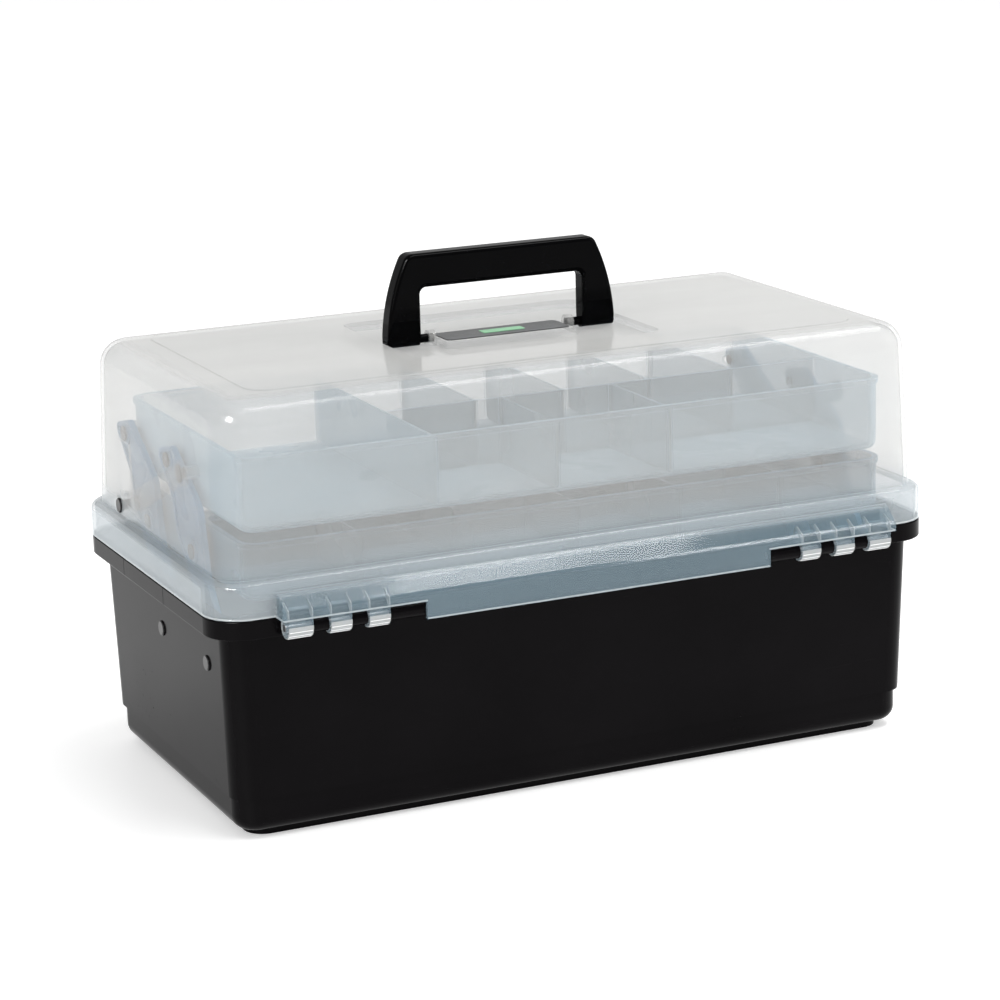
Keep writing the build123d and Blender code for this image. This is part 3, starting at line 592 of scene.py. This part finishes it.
@dataclass
class Lid:
    """The clear lid with its links, badge and moulded hinge detail.

    Sizes given from the hinge axis are (Y, Z) pairs.
    """

    finish: ClearPolypropylene = ClearPolypropylene()
    link_finish: ClearPolypropylene = ClearPolypropylene(name="clear_links", face_on=0.12, slant=0.35)
    # painted highlight colour of the knuckle ridges and edge beads
    pale_painted_highlight: Colour = (0.84, 0.85, 0.84)
    soft: Colour = (0.72, 0.73, 0.72)
    badge_film: PrintedPlate = PrintedPlate("badge_film", (0.06, 0.063, 0.066), (0.09, 0.094, 0.098))
    badge_ink: PrintedPlate = PrintedPlate("badge_ink", (0.26, 0.60, 0.34), (0.32, 0.66, 0.40))
    knuckles: tuple = ((126 * MM, 138 * MM), (148 * MM, 160 * MM), (170 * MM, 184 * MM))
    sleeve_radius: float = 5.95 * MM
    sleeve_wall: float = 0.35 * MM
    sleeve_degrees: tuple[float, float] = (12.0, -205.0)
    sleeve_steps: int = 28
    ridge_radius: float = 0.30 * MM
    ridge_sunk_share: float = 0.35
    ridge_short: float = 0.8 * MM
    ridge_degrees: tuple[float, float] = (-165.0, 150.0)
    ridge_sides: int = 8
    ridges: int = 7
    fin_width: float = 0.6 * MM
    fin_outline: tuple = ((3.9 * MM, 4.9 * MM), (5.9 * MM, 4.9 * MM), (5.6 * MM, 10.4 * MM),
                          (-1.1 * MM, 13.9 * MM), (-2.6 * MM, 13.15 * MM))
    bead_radius: float = 0.45 * MM
    bead_sides: int = 10
    skirt_corner: float = 22 * MM
    cover_corner: float = 0.6 * MM
    rim_gap: float = 0.4 * MM
    cover_past_knuckle: float = 3 * MM
    lip_before_knuckle: float = 21 * MM
    lip_drop: float = 9.9 * MM
    axis_y: float = field(init=False)
    axis_z: float = field(init=False)

    def __post_init__(self) -> None:
        """Read the place of the hinge axis from the model's own joint."""
        hinge = next(joint for joint in frame["joints"] if joint["name"] == "lid_hinge")
        self.axis_y, self.axis_z = hinge["pos_m"][1:]

    def dress(self) -> None:
        """Finish the lid, its links and its badge."""
        dress("lid", self.finish.material())
        link = self.link_finish.material()
        for node in pair("lid_link"):
            dress(node, link)
        dress("badge", self.badge_film.material())
        dress("badge_stripe", self.badge_ink.material())

    def detail(self) -> None:
        """Make the hinge's ridged sleeves, the fins over them and the edge beads, with painted highlight on
        the ridges and beads.
        """
        # painted highlight: a pale, nearly opaque clear paints bright lines on the real ridges and rounded
        # edges
        highlight_edge_finish = ClearPolypropylene(name="clear_edge_painted_highlight", skirt_painted_light=self.pale_painted_highlight, cover_painted_shade=self.pale_painted_highlight, skirt_veil=0.0,
                                  face_on=0.70, slant=0.98).material()
        hook = ClearPolypropylene(name="clear_hook", skirt_painted_light=self.soft, cover_painted_shade=self.soft, skirt_veil=0.0,
                                  face_on=0.42, slant=0.92).material()
        settle(self.make_sleeves(hook), Body.LID)
        settle(self.make_ridges(highlight_edge_finish), Body.LID)
        settle(self.make_fins(hook), Body.LID)
        settle(self.make_beads(highlight_edge_finish), Body.LID)

    def spans(self) -> list[tuple[float, float]]:
        """X limits of all six knuckles."""
        return [*self.knuckles, *((-high, -low) for low, high in self.knuckles)]

    def make_sleeves(self, material: bpy.types.Material) -> bpy.types.Object:
        """Smooth half-open sleeves over the knuckles, from the rear round to the front underside.

        Args:
            material: Finish of the sleeves.

        Returns:
            One piece with six closed shells.
        """
        build = bmesh.new()
        first, last = (math.radians(angle) for angle in self.sleeve_degrees)
        outside, inside = self.sleeve_radius, self.sleeve_radius - self.sleeve_wall
        for low, high in self.spans():
            section = ((outside, low), (outside, high), (inside, high), (inside, low))
            rings = []
            for step in range(self.sleeve_steps + 1):
                angle = first + (last - first) * step / self.sleeve_steps
                across, up = math.cos(angle), math.sin(angle)
                rings.append([build.verts.new((x, self.axis_y + radius * across, self.axis_z + radius * up))
                              for radius, x in section])
            for before, after in zip(rings, rings[1:]):
                for corner, following in ((0, 1), (1, 2), (2, 3), (3, 0)):
                    build.faces.new((before[corner], before[following], after[following], after[corner]))
            build.faces.new(rings[0])
            build.faces.new(rings[-1])
        return shell("hinge_sleeves", build, material)

    def make_ridges(self, material: bpy.types.Material) -> bpy.types.Object:
        """Fine ridges along each knuckle, spaced round its underside.

        Args:
            material: Finish of the ridges.

        Returns:
            One piece with every ridge.
        """
        start, sweep = (math.radians(angle) for angle in self.ridge_degrees)
        pieces = []
        for number, (low, high) in enumerate(self.spans()):
            tree = GeometryTree(f"knuckle_ridges_{number}")
            tree.number("Count", self.ridges, whole=True)
            tree.number("Reach", self.sleeve_radius - self.ridge_radius * self.ridge_sunk_share)
            tree.number("Length", high - low - self.ridge_short)
            tree.number("Ridge", self.ridge_radius)
            arc = tree.add("GeometryNodeCurveArc", {
                "Resolution": tree.read("Count"), "Radius": tree.read("Reach"),
                "Start Angle": start, "Sweep Angle": sweep})
            bar = tree.add("GeometryNodeMeshCylinder", {
                "Vertices": self.ridge_sides, "Radius": tree.read("Ridge"), "Depth": tree.read("Length")})
            points = tree.add("GeometryNodeCurveToPoints", {
                "Curve": arc.outputs[0], "Count": tree.read("Count")}, mode="COUNT")
            copies = tree.add("GeometryNodeInstanceOnPoints", {
                "Points": points.outputs[0], "Instance": bar.outputs[0]})
            turned = tree.add("GeometryNodeTransform", {
                "Geometry": copies.outputs[0], "Rotation": (math.pi / 2, 0.0, math.pi / 2)})
            place = Vector(((low + high) / 2, self.axis_y, self.axis_z))
            pieces.append(tree.bake(f"knuckle_ridges_{number}", turned.outputs[0], material, place))
        return merge("knuckle_ridges", pieces)

    def make_fins(self, material: bpy.types.Material) -> bpy.types.Object:
        """Small triangular fins that stand over both edges of each knuckle.

        Args:
            material: Finish of the fins.

        Returns:
            One piece with every fin.
        """
        build = bmesh.new()
        half = self.fin_width / 2
        outline = [(self.axis_y + y, self.axis_z + z) for y, z in self.fin_outline]
        for low, high in self.spans():
            for x in (low + half, high - half):
                left = [build.verts.new((x - half, y, z)) for y, z in outline]
                right = [build.verts.new((x + half, y, z)) for y, z in outline]
                build.faces.new(left)
                build.faces.new(right)
                for corner in range(len(outline)):
                    after = (corner + 1) % len(outline)
                    build.faces.new((left[corner], left[after], right[after], right[corner]))
        return shell("hinge_fins", build, material)

    def make_beads(self, material: bpy.types.Material) -> bpy.types.Object:
        """Rounded beads along the lower edges of the lid, the hinge cover and its lip, with painted
        highlight in their pale finish.

        Args:
            material: Finish of the beads.

        Returns:
            The beads as one piece.
        """
        lid_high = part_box("lid")[1]
        tub_low, tub_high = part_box("tub")
        side = lid_high[0] - self.bead_radius
        front = tub_low[1] + self.bead_radius
        rear = -front
        z = tub_high[2] + self.rim_gap + self.bead_radius
        cover_x = self.knuckles[-1][1] + self.cover_past_knuckle - self.bead_radius
        cover_y = lid_high[1] - self.bead_radius
        lip_x = self.knuckles[0][0] - self.lip_before_knuckle - self.bead_radius
        skirt_painted_light = [(cover_x, rear), (side, rear), (side, front), (-side, front), (-side, rear),
                 (-cover_x, rear)]
        left = [(-cover_x, rear), (-cover_x, cover_y), (-lip_x, cover_y)]
        right = [(-x, y) for x, y in left]
        lip = [(-lip_x, cover_y), (lip_x, cover_y)]
        return merge("lid_edge_beads", [
            self.make_bead("skirt_edge_bead", skirt_painted_light, z, self.skirt_corner, material),
            self.make_bead("cover_edge_left", left, z, self.cover_corner, material),
            self.make_bead("cover_edge_right", right, z, self.cover_corner, material),
            self.make_bead("lip_edge_bead", lip, z - self.lip_drop, self.cover_corner, material)])

    def make_bead(self, name: str, route: list[tuple[float, float]], z: float, corner: float,
                  material: bpy.types.Material) -> bpy.types.Object:
        """A bead along a level route with rounded corners.

        Args:
            name: Name of the piece.
            route: Corners in X and Y.
            z: Height of the route.
            corner: Corner radius.
            material: Finish of the bead.

        Returns:
            The bead as a plain mesh.
        """
        tree = GeometryTree(name)
        tree.number("Bead", self.bead_radius)
        tree.number("Corner", corner)
        joined = tree.add("GeometryNodeJoinGeometry")
        for start, end in zip(route, route[1:]):
            line = tree.add("GeometryNodeCurvePrimitiveLine", {"Start": (*start, z), "End": (*end, z)})
            tree.group.links.new(line.outputs[0], joined.inputs[0])
        mesh = tree.add("GeometryNodeCurveToMesh", {"Curve": joined.outputs[0]})
        welded = tree.add("GeometryNodeMergeByDistance", {
            "Geometry": mesh.outputs[0], "Distance": 0.01 * MM})
        path = tree.add("GeometryNodeMeshToCurve", {"Mesh": welded.outputs[0]})
        rounded = tree.add("GeometryNodeFilletCurve", {
            "Curve": path.outputs[0], "Radius": tree.read("Corner"), "Count": 10}, mode="POLY")
        ring = tree.add("GeometryNodeCurvePrimitiveCircle", {
            "Resolution": self.bead_sides, "Radius": tree.read("Bead")})
        bead = tree.add("GeometryNodeCurveToMesh", {
            "Curve": rounded.outputs[0], "Profile Curve": ring.outputs[0], "Fill Caps": True})
        smooth = tree.add("GeometryNodeSetShadeSmooth", {"Geometry": bead.outputs[0]})
        return tree.bake(name, smooth.outputs[0], material, Vector((0, 0, 0)))


@dataclass
class Handle:
    """The folding handle and the latches, in polished black."""

    finish: BlackPolypropylene = BlackPolypropylene(
        name="black_handle", colour=(0.0006, 0.0006, 0.0008), dusty=(0.0014, 0.0014, 0.0017),
        roughness=0.08, haze=0.05, specular=0.04, peel=0.03)

    def dress(self) -> None:
        """Finish the handle and the latches."""
        polished = self.finish.material()
        for node in ("handle", *pair("latch")):
            dress(node, polished)


@dataclass
class Trays:
    """Both trays with their dividers and arms."""

    upper: TintedPolypropylene = TintedPolypropylene()
    # painted shade: the upper tray's tinted plastic made darker for the tray lower in the box
    lower_in_painted_shade: TintedPolypropylene = TintedPolypropylene(
        name="tinted_lower_tray_painted_shade", colour=(0.28, 0.41, 0.50), deep=(0.18, 0.35, 0.49))
    divider: TintedPolypropylene = TintedPolypropylene(name="tinted_dividers", face_on=0.12, slant=0.6)
    arm: TintedPolypropylene = TintedPolypropylene(
        name="tinted_arms", colour=(0.07, 0.25, 0.45), deep=(0.04, 0.17, 0.34), face_on=0.90)

    def dress(self) -> None:
        """Finish the trays, the dividers and the arms."""
        dress("upper_tray", self.upper.material())
        dress("lower_tray", self.lower_in_painted_shade.material())
        divider = self.divider.material()
        for node in ("lower_tray_dividers", "upper_tray_dividers"):
            dress(node, divider)
        arm = self.arm.material()
        for node in (*pair("rear_arm"), *pair("front_arm")):
            dress(node, arm)


@dataclass(frozen=True)
class Softbox:
    """A rectangular light, with metres for its place, target and size, and watts for its power."""

    name: str
    place: tuple[float, float, float]
    target: tuple[float, float, float]
    size: tuple[float, float]
    power: float
    lights_matt: bool = True

    def light(self) -> None:
        """Hang the light in the scene, facing its target."""
        data = bpy.data.lights.new(self.name, "AREA")
        data.shape = "RECTANGLE"
        data.size, data.size_y = self.size
        data.energy = self.power
        lamp = bpy.data.objects.new(self.name, data)
        bpy.context.scene.collection.objects.link(lamp)
        lamp.location = self.place
        lamp.rotation_euler = (Vector(self.target) - Vector(self.place)).to_track_quat("-Z", "Y").to_euler()
        lamp.visible_diffuse = self.lights_matt


@dataclass
class Studio:
    """Paper floor, soft lights and the camera."""

    camera_place: tuple = (0.72731, 1.60848, 0.59030)
    forward: tuple = (-0.39811, -0.88370, -0.24613)
    up: tuple = (-0.12540, -0.21336, 0.96889)
    lens: float = 112.41
    sensor: float = 36.0
    floor_half: float = 14.0
    floor: StudioFloor = StudioFloor()
    world_strength: float = 0.62
    softboxes: tuple[Softbox, ...] = (
        Softbox("top_softbox", (-0.55, 0.45, 1.75), (-0.05, 0.0, 0.2), (1.9, 0.26), 20.0),
        Softbox("corner_card", (1.146, 0.888, 1.077), (0.2, 0.1, 0.23), (0.70, 0.50), 60.0,
                lights_matt=False),
        Softbox("left_softbox", (2.2, 0.6, 1.1), (0.1, 0.0, 0.15), (1.2, 1.4), 9.0),
        Softbox("right_softbox", (-1.9, 1.2, 1.2), (-0.1, 0.0, 0.15), (1.0, 1.4), 10.0))

    def build(self) -> None:
        """Make floor, lights, world and camera."""
        self.make_floor()
        self.make_world()
        for softbox in self.softboxes:
            softbox.light()
        self.make_camera()

    def make_floor(self) -> None:
        """A large sheet of paper, its middle under the box."""
        mesh = bpy.data.meshes.new("studio_floor")
        build = bmesh.new()
        bmesh.ops.create_grid(build, x_segments=8, y_segments=8, size=self.floor_half)
        build.to_mesh(mesh)
        build.free()
        mesh.materials.append(self.floor.material())
        floor = link_mesh("studio_floor", mesh)

    def make_world(self) -> None:
        """An even, almost white surround."""
        world = bpy.data.worlds.new("studio_world")
        world.use_nodes = True
        back = world.node_tree.nodes["Background"]
        back.inputs["Color"].default_value = (1.0, 1.0, 1.0, 1.0)
        back.inputs["Strength"].default_value = self.world_strength
        bpy.context.scene.world = world

    def make_camera(self) -> None:
        """A long lens at the viewing angle."""
        data = bpy.data.cameras.new("camera")
        data.lens = self.lens
        data.sensor_width = self.sensor
        camera = bpy.data.objects.new("camera", data)
        bpy.context.scene.collection.objects.link(camera)
        back = -Vector(self.forward).normalized()
        right = Vector(self.up).cross(back).normalized()
        top = back.cross(right)
        turn = Matrix((right, top, back)).transposed().to_4x4()
        camera.matrix_world = Matrix.Translation(self.camera_place) @ turn
        bpy.context.scene.camera = camera
        bpy.context.scene.view_settings.view_transform = "Standard"


def main() -> None:
    """Build the finishes, the detail and the studio in order."""
    logging.basicConfig(level=logging.INFO)
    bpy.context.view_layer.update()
    Tub().dress()
    lid = Lid()
    lid.dress()
    lid.detail()
    Handle().dress()
    Trays().dress()
    Studio().build()
    bpy.context.view_layer.update()


if __name__ == "__main__":
    main()
